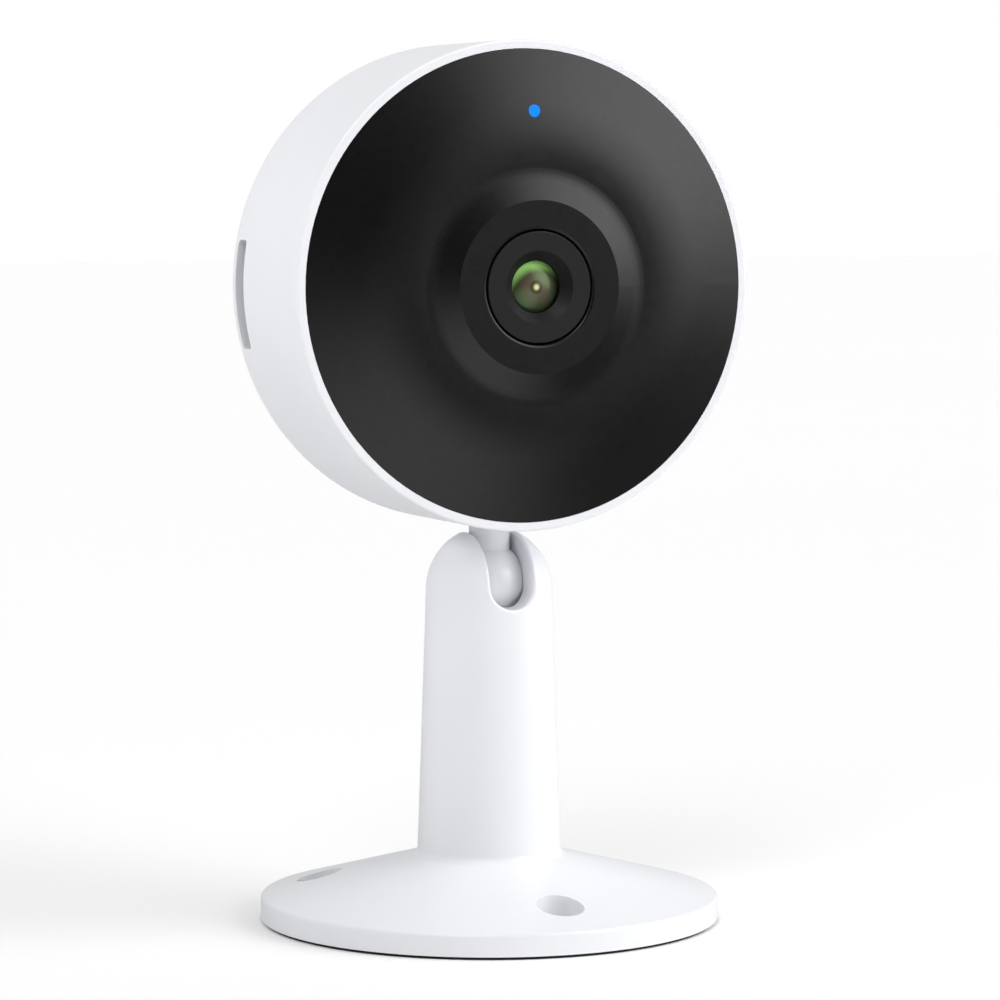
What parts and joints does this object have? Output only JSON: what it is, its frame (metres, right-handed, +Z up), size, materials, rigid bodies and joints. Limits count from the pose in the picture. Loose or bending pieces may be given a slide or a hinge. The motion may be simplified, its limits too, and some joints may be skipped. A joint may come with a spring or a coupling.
{
  "type": "security camera",
  "caption": "Indoor security camera: round white head with a black face and central lens, on a ball-jointed post with a round screw-down base.",
  "frame": {"origin": "centre of the base's underside, on the surface that it stands on", "axes": "+Z up along the post; the lens looks along -Y; +X is to the right of a viewer facing the lens"},
  "size_m": [0.062, 0.0594, 0.1134],
  "materials": {
    "white_shell": "fine satin-gloss moulded white",
    "black_face": "satin black, transparent to infrared",
    "lens_black": "matte black anodised",
    "coated_glass": "green anti-reflection coating",
    "clear_glass": "polished",
    "infrared_filter": "blue-green cut filter",
    "white_inner": "low-friction acetal",
    "steel": "zinc plated",
    "spring_steel": "drawn wire",
    "black_foam": "non-slip foam",
    "tape": "double-sided adhesive foam",
    "black_inner": "glass-filled black",
    "board": "green solder mask",
    "chip": "moulded epoxy",
    "sensor": "glass-covered sensor",
    "tinned": "tinned sheet",
    "copper": "enamelled copper winding",
    "led_lens": "clear moulded",
    "light_pipe": "blue-lit clear acrylic",
    "cone": "coated paper",
    "button": "satin"
  },
  "bodies": {
    "stand": {"stand_body": "white_shell", "foot_pad": "black_foam", "ball_seat": "white_inner", "seat_spring": "spring_steel", "spring_plug": "steel"},
    "stud": {"ball_stud": "white_shell", "stud_washer": "steel", "stud_screw": "steel"},
    "head": {"rear_shell": "white_shell", "front_panel": "black_face", "panel_tape": "tape", "light_pipe": "light_pipe", "lens_barrel": "lens_black", "lens_front_element": "coated_glass", "lens_iris": "lens_black", "lens_rear_element": "clear_glass", "lens_retainer": "lens_black", "lens_holder": "black_inner", "filter_housing": "black_inner", "filter_coil": "copper", "main_board": "board", "board_screws": "steel", "image_sensor": "sensor", "main_board_chips": "chip", "wifi_module": "tinned", "antenna": "board", "led_board": "board", "led_board_screws": "steel", "infrared_leds": "led_lens", "status_led": "led_lens", "light_sensor": "led_lens", "card_socket": "tinned", "usb_socket": "tinned", "usb_tongue": "black_inner", "reset_switch": "chip", "microphone": "tinned", "speaker_gasket": "black_foam", "speaker_basket": "black_inner", "speaker_cone": "cone", "speaker_magnet": "steel"},
    "button": {"reset_button": "button"},
    "filter_slide": {"filter_blade": "black_inner", "filter_glasses": "infrared_filter"}
  },
  "joints": [
    {"name": "head_tilt", "type": "hinge", "parent": "stand", "child": "stud", "pos_m": [0, 0, 0.0439], "axis": [1, 0, 0], "range_deg": [-15, 76]},
    {"name": "head_swivel", "type": "hinge", "parent": "stud", "child": "head", "pos_m": [0, 0, 0.0526], "axis": [0, 0, 1], "continuous": true},
    {"name": "reset_press", "type": "slide", "parent": "head", "child": "button", "axis": [0, -1, 0], "range_m": [0, 0.0005], "stiffness_N_per_m": 1000},
    {"name": "filter_shift", "type": "slide", "parent": "head", "child": "filter_slide", "axis": [1, 0, 0], "range_m": [-0.0065, 0]}
  ]
}
